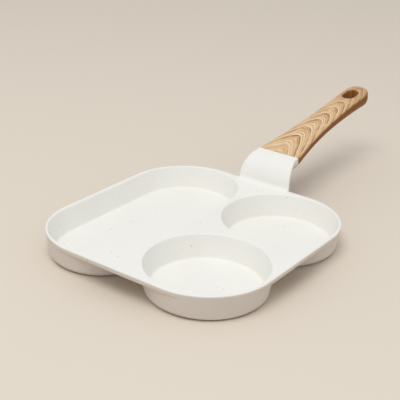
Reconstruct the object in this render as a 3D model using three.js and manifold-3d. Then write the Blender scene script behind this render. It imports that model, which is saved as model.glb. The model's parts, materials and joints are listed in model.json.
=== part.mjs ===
// Multi-section breakfast pan: a die-cast body with one long section and two round wells, a raised
// bracket that bends over into a tang, and a moulded grip screwed on to that tang from below.
// Millimetres, +Z up. The origin is on the ground, under the middle of the whole object, and +Y runs
// from the pan to the end of the handle.

import * as THREE from 'three';
import { mergeVertices } from 'three/addons/utils/BufferGeometryUtils.js';
import Module from 'manifold-3d';

const wasm = await Module();
wasm.setup();

// Clearance between neighbouring pieces
const CLEARANCE = 0.3;

// Casting, seen from above
const BODY_WIDTH = 214;
const BODY_LENGTH = 218;
const LIP = 2.6; // rim between a well and the outer edge
const RIDGE = 2.8; // between neighbouring wells
const CORNER_EASE = 4.1; // extra radius that thins the lip a little at the four corners
const CUP_LEAN = 0.5; // the cups lie this far towards the corners, where they are flush with the skirt

// Casting, in section
const RIM_HEIGHT = 24; // top plane above the ground
const SKIRT_HEIGHT = 5;
const SKIRT_THICKNESS = 3;
const WEB_THICKNESS = 3.2;
const WALL = 1.2; // cup outside the well's outline, at the top plane
const DRAFT = THREE.MathUtils.degToRad(9);
const FLOOR_THICKNESS = 3.4;
const FLOOR_FILLET = 1.8;
const CUP_ROUND = 5; // outer bottom edge of the cups
const CUP_FILLET = 3; // under the web
const RIM_ROUND = 1.2;
const WELL_ROUND = 1.4;
const HAIRLINE = 0.03; // keeps the cups just behind the skirt's face
const NECK_LENGTH = 24; // solid web where two cups nearly touch
const NECK_THICKNESS = 6;

// Base plates, let into the underside of the cups
const PLATE_THICKNESS = 1.4;
const PLATE_PROUD = 0.5; // how far they stand below the casting
const PLATE_INSET = 11; // from the well's top edge to the plate's edge

// Bracket, bent up from the rim and over into the handle
const HANDLE_SLOPE = THREE.MathUtils.degToRad(10.3);
const BRACKET_WIDTH = 55.2; // at the rim
const JOINT_WIDTH = 44.6; // where the grip starts
const BRACKET_BEND = 24.8; // radius of the outer face
const BRACKET_RISE = 0.8; // above the rim before the bend starts
const BRACKET_RUN = 1; // straight stretch after the bend
const BRACKET_FILLET = 4;
const BRACKET_THICKNESS = 3.4;
const JOINT_THICKNESS = 6.5;
const BRACKET_ROUND = 1.5;
const BRACKET_FOOT = 2.4; // step of the bracket's lower end behind the rim

// Tang, inside the grip
const TANG_WIDTH = 26;
const TANG_LENGTH = 40;
const TANG_THICKNESS = 3.2;
const TANG_COVER = 2.4; // grip above the tang
const TANG_CORNER = 5;
const TANG_ROOT = 5; // overlap with the bracket

// Grip
const GRIP_LENGTH = 168;
const GRIP_END_WIDTH = 26;
const GRIP_FRONT_THICKNESS = 14.8;
const GRIP_END_THICKNESS = 18.2;
const GRIP_FRONT_CROWN = 2.2; // from the widest line up to the top
const GRIP_END_CROWN = 6;
const GRIP_TAPER_FROM = 36; // where the sides are pulled in towards the waist, from the joint
const GRIP_TAPER_TO = 61;
const GRIP_WAIST_WIDTH = 23.6;
const GRIP_THIN_FROM = 46; // where the underside is pulled up, from the joint
const GRIP_THIN_TO = 85;
const GRIP_THIN = 10.8;
const GRIP_NOSE = 15; // length of the rounded end
const NOSE_TURN = THREE.MathUtils.degToRad(84); // the tip is a small flat past this angle
// Powers of the rounded sections: 2 is an ellipse, more is squarer
const FRONT_FLATNESS = 3.4;
const END_FLATNESS = 2.6;
const BELLY_FULLNESS = 3.2;
const NOSE_BLUNTNESS = 6;
const END_ONSET = 3; // power of the distance with which the front section turns into the end's
const HANG_HOLE_WIDTH = 12.8;
const HANG_HOLE_LENGTH = 20.4;
const HANG_HOLE_FROM_END = 26;

// Fixing, from the underside of the grip
const SCREW_FROM_JOINT = 22;
const SCREW_DIAMETER = 4;
const SCREW_HEAD_DIAMETER = 8;
const SCREW_HEAD_HEIGHT = 2.2;
const SCREW_CROWN_DIAMETER = 5; // flat of the domed head
const SCREW_SLOT_WIDTH = 1;
const SCREW_SLOT_LENGTH = 4.4;
const SCREW_SLOT_DEPTH = 1.2;
const SEAT_THICKNESS = 1.6; // grip between the tang and the washers
const FLAT_WASHER_DIAMETER = 9;
const FLAT_WASHER_THICKNESS = 0.7;
const LOCK_WASHER_DIAMETER = 7.6;
const LOCK_WASHER_THICKNESS = 0.9;
const LOCK_WASHER_SLIT = 0.8;

// Fineness of the round forms
const CORNER_STEPS = 12; // per quarter of an outline
const ARC_STEPS = 3; // per rounded edge
const BEND_STEPS = 12;
const GRIP_STEPS = 20;
const NOSE_STEPS = 7;
const GRIP_SIDES = 28;
const ROUND_SEGMENTS = 24;
const OVERCUT = 1; // how far a cutter reaches past the face that it opens
const ROUND_LIMIT = 0.45; // largest share of a thickness that one rounded edge may take
const WELD = 1e-4; // points closer than this are one
const HALVINGS = 30; // of a curve, to find the point at a distance along it

// Materials
const coating = () => new THREE.MeshStandardMaterial({ color: '#efece4', roughness: 0.45, metalness: 0 });
const woodLook = () => new THREE.MeshStandardMaterial({ color: '#d9b68a', roughness: 0.5, metalness: 0 });
const steel = () => new THREE.MeshStandardMaterial({ color: '#b9b9b6', roughness: 0.35, metalness: 1 });

// Closed mesh to solid, for joining and cutting
function solid(geometry) {
  const bare = geometry.clone();
  bare.deleteAttribute('normal');
  bare.deleteAttribute('uv');
  const merged = mergeVertices(bare, WELD);
  const mesh = new wasm.Mesh({
    numProp: 3,
    vertProperties: new Float32Array(merged.attributes.position.array),
    triVerts: new Uint32Array(merged.index.array),
  });
  return new wasm.Manifold(mesh);
}

// Solid back to a mesh with its node's name
function piece(name, body, material) {
  const { vertProperties, triVerts } = body.getMesh();
  const geometry = new THREE.BufferGeometry();
  geometry.setAttribute('position', new THREE.BufferAttribute(new Float32Array(vertProperties), 3));
  geometry.setIndex(new THREE.BufferAttribute(new Uint32Array(triVerts), 1));
  const faceted = geometry.toNonIndexed();
  faceted.computeVertexNormals();
  const mesh = new THREE.Mesh(faceted, material);
  mesh.name = name;
  return mesh;
}

// Closed solid through matching rings, each listed anticlockwise as seen from the last one
function loft(rings) {
  const count = rings[0].length;
  const points = rings.flat();
  const faces = [];
  for (let row = 0; row < rings.length - 1; row += 1) {
    for (let column = 0; column < count; column += 1) {
      const next = (column + 1) % count;
      const [a, b] = [row * count + column, row * count + next];
      faces.push(a, b, b + count, a, b + count, a + count);
    }
  }
  const centre = (ring) => ring.reduce((sum, p) => sum.add(p), new THREE.Vector3()).divideScalar(count);
  const first = points.push(centre(rings[0])) - 1;
  const last = points.push(centre(rings.at(-1))) - 1;
  const top = (rings.length - 1) * count;
  for (let column = 0; column < count; column += 1) {
    const next = (column + 1) % count;
    faces.push(first, next, column);
    faces.push(last, top + column, top + next);
  }
  const geometry = new THREE.BufferGeometry().setFromPoints(points);
  geometry.setIndex(faces);
  return solid(geometry);
}

const steps = (count) => Array.from({ length: count + 1 }, (_, k) => k / count);

// One level of a footprint with elliptical corners: left and right are the corners' radii across the
// pan, end their length along it, and inset moves the whole outline inwards
function level({ x0, x1, y0, y1, left, right, end }, inset, z) {
  const corners = [
    [x1 - right, y1 - end, right - inset],
    [x0 + left, y1 - end, left - inset],
    [x0 + left, y0 + end, left - inset],
    [x1 - right, y0 + end, right - inset],
  ];
  const ring = corners.flatMap(([cx, cy, radius], quarter) => steps(CORNER_STEPS).map((t) => {
    const angle = (quarter + t) * Math.PI / 2;
    return new THREE.Vector3(cx + radius * Math.cos(angle), cy + (end - inset) * Math.sin(angle), z);
  }));
  return ring.filter((p, k) => p.distanceTo(ring.at(k - 1)) > WELD);
}

// Rounded edge of a profile, as insets and heights: angle 0 faces out, a quarter turn faces up
function arc(inset, z, radius, from, to) {
  return steps(ARC_STEPS).map((t) => {
    const angle = THREE.MathUtils.lerp(from, to, t);
    return { inset: inset - radius * Math.cos(angle), z: z + radius * Math.sin(angle) };
  });
}

const formed = (foot, profile) => loft(profile.map(({ inset, z }) => level(foot, inset, z)));

// Rounded foot of a drafted wall that would reach the top plane at the given inset
function draftedFoot(topInset, bottom, radius) {
  const tangent = bottom + radius - radius * Math.sin(DRAFT);
  const inset = topInset + (RIM_HEIGHT - tangent) * Math.tan(DRAFT) + radius * Math.cos(DRAFT);
  return arc(inset, bottom + radius, radius, -Math.PI / 2, -DRAFT);
}

// Footprints of the three wells, from the outer size, the lip and the ridges
const wellRadius = (BODY_LENGTH - 2 * LIP - RIDGE) / 4;
const wellX = BODY_WIDTH / 2 - LIP - wellRadius;
const wellY = RIDGE / 2 + wellRadius;

const roundFoot = (y) => ({
  x0: wellX - wellRadius,
  x1: wellX + wellRadius,
  y0: y - wellRadius,
  y1: y + wellRadius,
  left: wellRadius,
  right: wellRadius,
  end: wellRadius,
});

const longLeft = LIP - BODY_WIDTH / 2;
const longRight = wellX - wellRadius - RIDGE;

const feet = {
  long: {
    x0: longLeft,
    x1: longRight,
    y0: LIP - BODY_LENGTH / 2,
    y1: BODY_LENGTH / 2 - LIP,
    left: wellRadius,
    right: longRight - longLeft - wellRadius,
    end: wellRadius,
  },
  front: roundFoot(-wellY),
  rear: roundFoot(wellY),
};

// The same footprint with its four sides moved
const moved = (foot, x0, x1, y0, y1) => ({
  ...foot,
  x0: foot.x0 + x0,
  x1: foot.x1 + x1,
  y0: foot.y0 + y0,
  y1: foot.y1 + y1,
});

const cupFeet = [
  moved(feet.long, -CUP_LEAN, 0, -CUP_LEAN, CUP_LEAN),
  moved(feet.front, CUP_LEAN, CUP_LEAN, -CUP_LEAN, -CUP_LEAN),
  moved(feet.rear, CUP_LEAN, CUP_LEAN, CUP_LEAN, CUP_LEAN),
];

const bodyCorner = wellRadius + LIP + CORNER_EASE;
const bodyFoot = {
  x0: -BODY_WIDTH / 2,
  x1: BODY_WIDTH / 2,
  y0: -BODY_LENGTH / 2,
  y1: BODY_LENGTH / 2,
  left: bodyCorner,
  right: bodyCorner,
  end: bodyCorner,
};

const skirtBottom = RIM_HEIGHT - SKIRT_HEIGHT;
const cupBottom = PLATE_PROUD;
const floorTop = cupBottom + FLOOR_THICKNESS;

// Flat rim with rounded edges and a drafted skirt that hangs below the web
function rimPlate() {
  const [low, high] = [skirtBottom + RIM_ROUND, RIM_HEIGHT - RIM_ROUND];
  const plate = formed(bodyFoot, [
    ...arc(RIM_ROUND + (high - low) * Math.tan(DRAFT), low, RIM_ROUND, -Math.PI / 2, -DRAFT),
    ...arc(RIM_ROUND, high, RIM_ROUND, -DRAFT, Math.PI / 2),
  ]);
  const hollow = formed(bodyFoot, [
    { inset: SKIRT_THICKNESS, z: skirtBottom - OVERCUT },
    { inset: SKIRT_THICKNESS, z: RIM_HEIGHT - WEB_THICKNESS },
  ]);
  return plate.subtract(hollow);
}

// Block inside the skirt's face, carried on down to the ground, that the cups are trimmed to
function flushBlock() {
  const startInset = RIM_ROUND * (1 - Math.cos(DRAFT)) + HAIRLINE;
  const startZ = RIM_HEIGHT - RIM_ROUND * (1 + Math.sin(DRAFT));
  return formed(bodyFoot, [-OVERCUT, RIM_HEIGHT].map((z) => (
    { inset: startInset + (startZ - z) * Math.tan(DRAFT), z }
  )));
}

// Outside of a cup: rounded foot, drafted wall, and a hollow fillet that runs out under the web
function cup(foot) {
  const z = RIM_HEIGHT - WEB_THICKNESS - CUP_FILLET;
  const tangent = z + CUP_FILLET * Math.sin(DRAFT);
  const inset = (RIM_HEIGHT - tangent) * Math.tan(DRAFT) - WALL - CUP_FILLET * Math.cos(DRAFT);
  const fillet = steps(ARC_STEPS).map((t) => {
    const angle = THREE.MathUtils.lerp(DRAFT, Math.PI / 2, t);
    return { inset: inset + CUP_FILLET * Math.cos(angle), z: z + CUP_FILLET * Math.sin(angle) };
  });
  return formed(foot, [
    ...draftedFoot(-WALL, cupBottom, CUP_ROUND),
    ...fillet,
    { inset, z: RIM_HEIGHT - RIM_ROUND },
  ]);
}

// Inside of a well: filleted floor, drafted wall, and a rounded upper edge that runs out past the rim
function well(foot) {
  const z = RIM_HEIGHT - WELL_ROUND;
  const lastAngle = Math.PI / 2 - DRAFT;
  const edge = steps(ARC_STEPS).map((t) => {
    const angle = THREE.MathUtils.lerp(DRAFT, lastAngle, t);
    return { inset: WELL_ROUND * Math.cos(angle), z: z + WELL_ROUND * Math.sin(angle) };
  });
  const mouth = edge.at(-1);
  const rise = WELL_ROUND / 2;
  const runOut = { inset: mouth.inset - rise * Math.tan(lastAngle), z: mouth.z + rise };
  const topInset = WELL_ROUND * (1 - Math.sin(DRAFT)) / Math.cos(DRAFT);
  return formed(foot, [...draftedFoot(topInset, floorTop, FLOOR_FILLET), ...edge, runOut]);
}

// Web that fills the slit where two cups nearly touch
function neckWeb(x, y, alongX) {
  const bottom = cupBottom + CUP_ROUND;
  const height = RIM_HEIGHT - WELL_ROUND - bottom;
  const size = alongX ? [NECK_LENGTH, NECK_THICKNESS] : [NECK_THICKNESS, NECK_LENGTH];
  const web = new THREE.BoxGeometry(...size, height);
  web.translate(x, y, bottom + height / 2);
  return solid(web);
}

// Handle frame: its origin is the middle of the joint on the upper face, +Y runs along the handle
const bendY = BODY_LENGTH / 2 + BRACKET_BEND;
const bendZ = RIM_HEIGHT + BRACKET_RISE;
const jointY = bendY - BRACKET_BEND * Math.sin(HANDLE_SLOPE) + BRACKET_RUN * Math.cos(HANDLE_SLOPE);
const jointZ = bendZ + BRACKET_BEND * Math.cos(HANDLE_SLOPE) + BRACKET_RUN * Math.sin(HANDLE_SLOPE);
const handleFrame = new THREE.Matrix4().makeRotationX(HANDLE_SLOPE).setPosition(0, jointY, jointZ);

// Section across the bracket: a rounded bar between its outer and inner faces
function bar(halfWidth, outer, inner) {
  const thickness = outer.distanceTo(inner);
  const radius = Math.min(BRACKET_ROUND, thickness * ROUND_LIMIT);
  const across = new THREE.Vector3(-1, 0, 0);
  const out = outer.clone().sub(inner).normalize();
  const middle = outer.clone().add(inner).divideScalar(2);
  const signs = [[1, 1], [-1, 1], [-1, -1], [1, -1]];
  return signs.flatMap(([sx, sy], quarter) => steps(ARC_STEPS).map((t) => {
    const angle = (quarter + t) * Math.PI / 2;
    const u = sx * (halfWidth - radius) + radius * Math.cos(angle);
    const v = sy * (thickness / 2 - radius) + radius * Math.sin(angle);
    return middle.clone().addScaledVector(across, u).addScaledVector(out, v);
  }));
}

// Bracket: a foot inside the rim, a fillet on the rim's upper face, the bend and a short straight run
function bracket() {
  const front = BODY_LENGTH / 2 - BRACKET_FILLET;
  const back = BODY_LENGTH / 2 + BRACKET_THICKNESS;
  const half = BRACKET_WIDTH / 2;
  const at = (y, z) => new THREE.Vector3(0, y, z);
  const rings = [
    bar(half, at(front, skirtBottom + RIM_ROUND), at(back - BRACKET_FOOT, skirtBottom + RIM_ROUND)),
    bar(half, at(front, RIM_HEIGHT - WEB_THICKNESS / 2), at(back, RIM_HEIGHT - WEB_THICKNESS / 2)),
  ];
  steps(ARC_STEPS).slice(1, -1).forEach((t) => {
    const angle = t * Math.PI / 2;
    const z = RIM_HEIGHT + BRACKET_FILLET * (1 - Math.cos(angle));
    rings.push(bar(half, at(front + BRACKET_FILLET * Math.sin(angle), z), at(back, z)));
  });
  const start = Math.asin((BRACKET_FILLET - BRACKET_RISE) / BRACKET_BEND);
  const sweep = Math.PI / 2 - HANDLE_SLOPE;
  const direction = new THREE.Vector3(0, Math.cos(HANDLE_SLOPE), Math.sin(HANDLE_SLOPE));
  steps(BEND_STEPS).forEach((t) => {
    const angle = THREE.MathUtils.lerp(start, sweep, t);
    const out = at(-Math.cos(angle), Math.sin(angle));
    const outer = at(bendY, bendZ).addScaledVector(out, BRACKET_BEND);
    const thickness = THREE.MathUtils.lerp(BRACKET_THICKNESS, JOINT_THICKNESS, t);
    const narrowing = (t + t * t) / 2;
    const width = THREE.MathUtils.lerp(BRACKET_WIDTH, JOINT_WIDTH, narrowing);
    rings.push(bar(width / 2, outer, outer.clone().addScaledVector(out, -thickness)));
  });
  const end = rings.at(-1).map((p) => p.clone().addScaledVector(direction, BRACKET_RUN));
  return loft([...rings, end]);
}

// Flat tongue in the handle frame, from start to end along it, with its far corners rounded
function tongue(grow, start, top, bottom) {
  const half = TANG_WIDTH / 2 + grow;
  const end = TANG_LENGTH + grow;
  const corner = TANG_CORNER + grow;
  const shape = new THREE.Shape();
  shape.moveTo(-half, start);
  shape.lineTo(half, start);
  shape.lineTo(half, end - corner);
  shape.absarc(half - corner, end - corner, corner, 0, Math.PI / 2);
  shape.absarc(corner - half, end - corner, corner, Math.PI / 2, Math.PI);
  const geometry = new THREE.ExtrudeGeometry(shape, {
    depth: top - bottom,
    bevelEnabled: false,
    curveSegments: ARC_STEPS,
  });
  geometry.translate(0, 0, bottom);
  return geometry;
}

// Plain round bar in the handle frame, on the screw's axis
function screwBar(diameter, top, bottom) {
  const geometry = new THREE.CylinderGeometry(diameter / 2, diameter / 2, top - bottom, ROUND_SEGMENTS);
  geometry.rotateX(Math.PI / 2);
  geometry.translate(0, SCREW_FROM_JOINT, (top + bottom) / 2);
  return geometry;
}

const tangTop = -TANG_COVER - CLEARANCE;
const tangBottom = tangTop - TANG_THICKNESS;
const seat = tangBottom - CLEARANCE - SEAT_THICKNESS;
const flatWasherTop = seat - CLEARANCE;
const lockWasherTop = flatWasherTop - FLAT_WASHER_THICKNESS - CLEARANCE;
const headTop = lockWasherTop - LOCK_WASHER_THICKNESS - CLEARANCE;

function panBody() {
  const tang = solid(tongue(0, -TANG_ROOT, tangTop, tangBottom).applyMatrix4(handleFrame));
  const tapping = screwBar(SCREW_DIAMETER + 2 * CLEARANCE, tangTop + OVERCUT, tangBottom - OVERCUT);
  const ridgeX = longRight + RIDGE / 2;
  const cups = [
    ...cupFeet.map(cup),
    neckWeb(wellX, 0, true),
    neckWeb(ridgeX, -wellY, false),
    neckWeb(ridgeX, wellY, false),
  ].reduce((sum, next) => sum.add(next)).intersect(flushBlock());
  let body = rimPlate().add(cups).add(bracket()).add(tang);
  body = body.subtract(solid(tapping.applyMatrix4(handleFrame)));
  Object.values(feet).forEach((foot) => {
    body = body.subtract(well(foot)).subtract(plateRecess(foot));
  });
  return body;
}

// Base plate and the recess that it is bonded into
function basePlate(foot) {
  return formed(foot, [{ inset: PLATE_INSET, z: 0 }, { inset: PLATE_INSET, z: PLATE_THICKNESS }]);
}

function plateRecess(foot) {
  const inset = PLATE_INSET - CLEARANCE;
  return formed(foot, [{ inset, z: -OVERCUT }, { inset, z: PLATE_THICKNESS + CLEARANCE }]);
}

// Section across the grip in its own frame: a flattened crown above the widest line, a full belly below
function gripRing(y, { halfWidth, line, rise, belly, flatness }) {
  return steps(GRIP_SIDES).slice(0, -1).map((t) => {
    const angle = t * Math.PI * 2;
    const [c, s] = [Math.cos(angle), Math.sin(angle)];
    const power = 2 / (s > 0 ? flatness : BELLY_FULLNESS);
    const height = s > 0 ? rise : belly;
    const x = halfWidth * Math.sign(c) * Math.abs(c) ** power;
    return new THREE.Vector3(-x, y, height * Math.sign(s) * Math.abs(s) ** power - line);
  });
}

// Value of a curve at a distance along the grip, by halving
function valueAt(curve, y) {
  let [low, high] = [0, 1];
  for (let pass = 0; pass < HALVINGS; pass += 1) {
    const middle = (low + high) / 2;
    [low, high] = curve.getPoint(middle).x < y ? [middle, high] : [low, middle];
  }
  return curve.getPoint(low).y;
}

const pulled = (...points) => new THREE.CubicBezierCurve(...points.map(([y, v]) => new THREE.Vector2(y, v)));

// Grip: width and thickness follow two smooth curves, and the end rounds off over the nose
function gripBlank() {
  const noseStart = GRIP_LENGTH - GRIP_NOSE;
  const widthCurve = pulled(
    [0, JOINT_WIDTH],
    [GRIP_TAPER_FROM, (JOINT_WIDTH + GRIP_WAIST_WIDTH) / 2],
    [GRIP_TAPER_TO, GRIP_WAIST_WIDTH],
    [noseStart, GRIP_END_WIDTH],
  );
  const depthCurve = pulled(
    [0, GRIP_FRONT_THICKNESS],
    [GRIP_THIN_FROM, GRIP_THIN],
    [GRIP_THIN_TO, GRIP_THIN],
    [noseStart, GRIP_END_THICKNESS],
  );
  const rings = steps(GRIP_STEPS).map((t) => {
    const y = THREE.MathUtils.lerp(CLEARANCE, noseStart, t);
    const onset = t ** END_ONSET;
    const line = THREE.MathUtils.lerp(GRIP_FRONT_CROWN, GRIP_END_CROWN, onset);
    return gripRing(y, {
      halfWidth: valueAt(widthCurve, y) / 2,
      line,
      rise: line,
      belly: valueAt(depthCurve, y) - line,
      flatness: THREE.MathUtils.lerp(FRONT_FLATNESS, END_FLATNESS, onset),
    });
  });
  steps(NOSE_STEPS).slice(1).forEach((t) => {
    const angle = t * NOSE_TURN;
    const along = Math.sin(angle);
    const shrink = (power) => (1 - along ** power) ** (1 / power);
    rings.push(gripRing(noseStart + GRIP_NOSE * along, {
      halfWidth: GRIP_END_WIDTH / 2 * Math.cos(angle),
      line: GRIP_END_CROWN,
      rise: GRIP_END_CROWN * shrink(END_FLATNESS),
      belly: (GRIP_END_THICKNESS - GRIP_END_CROWN) * shrink(NOSE_BLUNTNESS),
      flatness: END_FLATNESS,
    }));
  });
  return loft(rings);
}

// Oval hole through the end of the grip
function hangHole() {
  const run = (HANG_HOLE_LENGTH - HANG_HOLE_WIDTH) / 2;
  const radius = HANG_HOLE_WIDTH / 2;
  const middle = GRIP_LENGTH - HANG_HOLE_FROM_END;
  const shape = new THREE.Shape();
  shape.absarc(0, middle + run, radius, 0, Math.PI);
  shape.absarc(0, middle - run, radius, Math.PI, Math.PI * 2);
  const depth = GRIP_END_THICKNESS + 2 * OVERCUT;
  const options = { depth, bevelEnabled: false, curveSegments: CORNER_STEPS };
  const geometry = new THREE.ExtrudeGeometry(shape, options);
  geometry.translate(0, 0, OVERCUT - depth);
  return solid(geometry);
}

function handleGrip() {
  const socket = tongue(CLEARANCE, -OVERCUT, -TANG_COVER, tangBottom - CLEARANCE);
  const deepest = -GRIP_FRONT_THICKNESS - GRIP_END_THICKNESS;
  const passage = screwBar(SCREW_DIAMETER + 2 * CLEARANCE, tangTop, deepest);
  const counterbore = screwBar(FLAT_WASHER_DIAMETER + 2 * CLEARANCE, seat, deepest);
  return gripBlank()
    .subtract(solid(socket))
    .subtract(solid(passage))
    .subtract(solid(counterbore))
    .subtract(hangHole());
}

// Turned pieces on the screw's axis, from a profile of radius and height
function turned(profile) {
  const points = profile.map(([radius, z]) => new THREE.Vector2(radius, z));
  const geometry = new THREE.LatheGeometry(points, ROUND_SEGMENTS);
  geometry.rotateX(Math.PI / 2);
  geometry.translate(0, SCREW_FROM_JOINT, 0);
  return solid(geometry);
}

function ringOf(outerDiameter, top, thickness) {
  const inner = SCREW_DIAMETER / 2 + CLEARANCE;
  const outer = outerDiameter / 2;
  const bottom = top - thickness;
  return turned([[inner, bottom], [outer, bottom], [outer, top], [inner, top], [inner, bottom]]);
}

function boxAt(size, position) {
  const geometry = new THREE.BoxGeometry(...size);
  geometry.translate(...position);
  return solid(geometry);
}

function handleScrew() {
  const shank = SCREW_DIAMETER / 2;
  const rim = SCREW_HEAD_DIAMETER / 2;
  const headBottom = headTop - SCREW_HEAD_HEIGHT;
  const shoulder = headTop - SCREW_HEAD_HEIGHT / 2;
  const screw = turned([
    [0, headBottom], [SCREW_CROWN_DIAMETER / 2, headBottom], [rim, shoulder], [rim, headTop],
    [shank, headTop], [shank, tangTop], [0, tangTop],
  ]);
  const depth = SCREW_SLOT_DEPTH + OVERCUT;
  const place = [0, SCREW_FROM_JOINT, headBottom + SCREW_SLOT_DEPTH - depth / 2];
  return screw
    .subtract(boxAt([SCREW_SLOT_LENGTH, SCREW_SLOT_WIDTH, depth], place))
    .subtract(boxAt([SCREW_SLOT_WIDTH, SCREW_SLOT_LENGTH, depth], place));
}

function lockWasher() {
  const washer = ringOf(LOCK_WASHER_DIAMETER, lockWasherTop, LOCK_WASHER_THICKNESS);
  const size = [LOCK_WASHER_DIAMETER, LOCK_WASHER_SLIT, LOCK_WASHER_THICKNESS + 2 * OVERCUT];
  const place = [LOCK_WASHER_DIAMETER / 2, SCREW_FROM_JOINT, lockWasherTop - LOCK_WASHER_THICKNESS / 2];
  return washer.subtract(boxAt(size, place));
}

const pan = new THREE.Group();
pan.add(piece('pan_body', panBody(), coating()));
Object.entries(feet).forEach(([where, foot]) => {
  pan.add(piece(`${where}_base_plate`, basePlate(foot), steel()));
});

const handle = new THREE.Group();
handle.applyMatrix4(handleFrame);
handle.add(piece('handle_grip', handleGrip(), woodLook()));
handle.add(piece('handle_screw', handleScrew(), steel()));
const flatWasher = ringOf(FLAT_WASHER_DIAMETER, flatWasherTop, FLAT_WASHER_THICKNESS);
handle.add(piece('handle_flat_washer', flatWasher, steel()));
handle.add(piece('handle_lock_washer', lockWasher(), steel()));
pan.add(handle);

// The origin moves from the middle of the casting to the middle of the whole object
const span = new THREE.Box3().setFromObject(pan, true);
pan.position.y = -(span.min.y + span.max.y) / 2;
pan.updateMatrixWorld(true);

export default pan;
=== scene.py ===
"""Dressed model of a divided breakfast pan: a speckled white casting with a wood-look grip.

Shapes are worked out in millimetres in the pan frame, whose origin lies on the ground under the middle of
the casting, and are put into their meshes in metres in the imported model's own frame.
"""

import json
import logging
import math
from dataclasses import dataclass, field, replace
from enum import Enum
from typing import Any

import bmesh
import bpy
import numpy as np
from mathutils import Matrix, Vector

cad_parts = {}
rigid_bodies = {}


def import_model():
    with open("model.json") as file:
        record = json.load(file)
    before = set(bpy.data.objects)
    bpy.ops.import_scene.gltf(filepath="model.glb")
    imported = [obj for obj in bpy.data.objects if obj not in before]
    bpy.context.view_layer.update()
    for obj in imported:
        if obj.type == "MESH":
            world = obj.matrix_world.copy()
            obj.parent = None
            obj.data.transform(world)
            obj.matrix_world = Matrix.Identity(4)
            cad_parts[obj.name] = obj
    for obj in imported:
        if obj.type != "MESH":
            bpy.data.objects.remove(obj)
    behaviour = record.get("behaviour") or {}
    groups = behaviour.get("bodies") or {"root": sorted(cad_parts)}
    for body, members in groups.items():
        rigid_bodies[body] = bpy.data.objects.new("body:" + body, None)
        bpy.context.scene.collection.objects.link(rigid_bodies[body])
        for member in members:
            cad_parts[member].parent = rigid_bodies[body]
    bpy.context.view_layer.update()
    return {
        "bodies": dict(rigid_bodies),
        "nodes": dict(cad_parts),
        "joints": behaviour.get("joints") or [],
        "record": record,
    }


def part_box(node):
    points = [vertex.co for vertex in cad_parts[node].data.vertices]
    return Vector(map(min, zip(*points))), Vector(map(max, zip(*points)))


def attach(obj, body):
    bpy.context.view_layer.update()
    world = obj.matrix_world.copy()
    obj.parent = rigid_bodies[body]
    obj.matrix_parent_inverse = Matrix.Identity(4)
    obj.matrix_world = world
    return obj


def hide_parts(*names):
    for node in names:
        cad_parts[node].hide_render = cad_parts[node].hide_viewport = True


Array = np.ndarray
Piece = bpy.types.Object
Material = bpy.types.Material
Tree = bpy.types.NodeTree
Solid = tuple[Array, list[list[int]]]
Inputs = dict[Any, Any]

MM = 0.001
BODY = "root"
TINY = 1e-6
WELD = 0.002 * MM
OVERCUT = 1.0
CLEARANCE = 0.3
CREASE = math.radians(38.0)
AREA_WEIGHT = 100
QUARTER = math.pi / 2
GRAIN = "grain"
# Sockets of a Mix node for colours, whose names the mixes of other kinds share
FACTOR, FIRST, SECOND, MIXED = 0, 6, 7, 2

log = logging.getLogger("breakfast_pan")


def linear(colour: str) -> tuple[float, float, float, float]:
    """Turn an sRGB hex value into linear RGBA.

    Args:
        colour: a value such as "#efece4".

    Returns:
        Red, green, blue and an alpha of 1.
    """
    srgb = np.array([int(colour[k:k + 2], 16) for k in (1, 3, 5)]) / 255.0
    rgb = np.where(srgb <= 0.04045, srgb / 12.92, ((srgb + 0.055) / 1.055) ** 2.4)
    return (*rgb.tolist(), 1.0)


def node(tree: Tree, kind: str, inputs: Inputs | None = None, **settings: Any) -> bpy.types.Node:
    """Add one node with its settings, values and links.

    Args:
        tree: the node tree that it goes into.
        kind: what follows ShaderNode in its type name.
        inputs: a value, or a socket to link from, for each input by name or number.
        settings: the node's own properties.

    Returns:
        The new node.
    """
    made = tree.nodes.new(f"ShaderNode{kind}")
    for name, value in settings.items():
        setattr(made, name, value)
    for key, value in (inputs or {}).items():
        if isinstance(value, bpy.types.NodeSocket):
            tree.links.new(value, made.inputs[key])
        else:
            made.inputs[key].default_value = value
    return made


def blank_material(name: str) -> tuple[Material, Tree]:
    """Make a material with an empty node tree.

    Args:
        name: the material's name.

    Returns:
        The material and its tree.
    """
    material = bpy.data.materials.new(name)
    material.use_nodes = True
    material.node_tree.nodes.clear()
    return material, material.node_tree


def placed(name: str, data: bpy.types.ID) -> Piece:
    """Put a mesh, camera or lamp into the scene.

    Args:
        name: the object's name.
        data: what it shows.

    Returns:
        The new object, at the origin.
    """
    made = bpy.data.objects.new(name, data)
    bpy.context.scene.collection.objects.link(made)
    return made


def loft(rings: Array) -> Solid:
    """Close a stack of matching rings into a solid.

    The point in row r and column c is joined to column c + 1 and row r + 1 by a quad, the columns run round,
    and one polygon closes each end. Rings run anticlockwise as seen from the last one.

    Args:
        rings: points of shape (rows, columns, 3).

    Returns:
        The points as one list, and the faces as lists of their numbers.
    """
    rows, columns = rings.shape[:2]
    index = np.arange(rows * columns).reshape(rows, columns)
    ahead = np.roll(index, -1, axis=1)
    quads = np.stack([index[:-1], ahead[:-1], ahead[1:], index[1:]], axis=-1).reshape(-1, 4)
    return rings.reshape(-1, 3), [*quads.tolist(), index[0, ::-1].tolist(), index[-1].tolist()]


def prism(outline: Array, low: float, high: float, flare: tuple[float, float] = (1.0, 1.0)) -> Array:
    """Rings of an upright prism: the outline, times its flare there, at the lower and the upper height."""
    ends = zip(flare, (low, high))
    return np.stack([np.column_stack([outline * size, np.full(len(outline), z)]) for size, z in ends])


def straight(inset: float, low: float, high: float) -> Array:
    """Profile of an upright wall: one inset, or one radius, at its lower and its upper end."""
    return np.array([[inset, low], [inset, high]])


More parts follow.
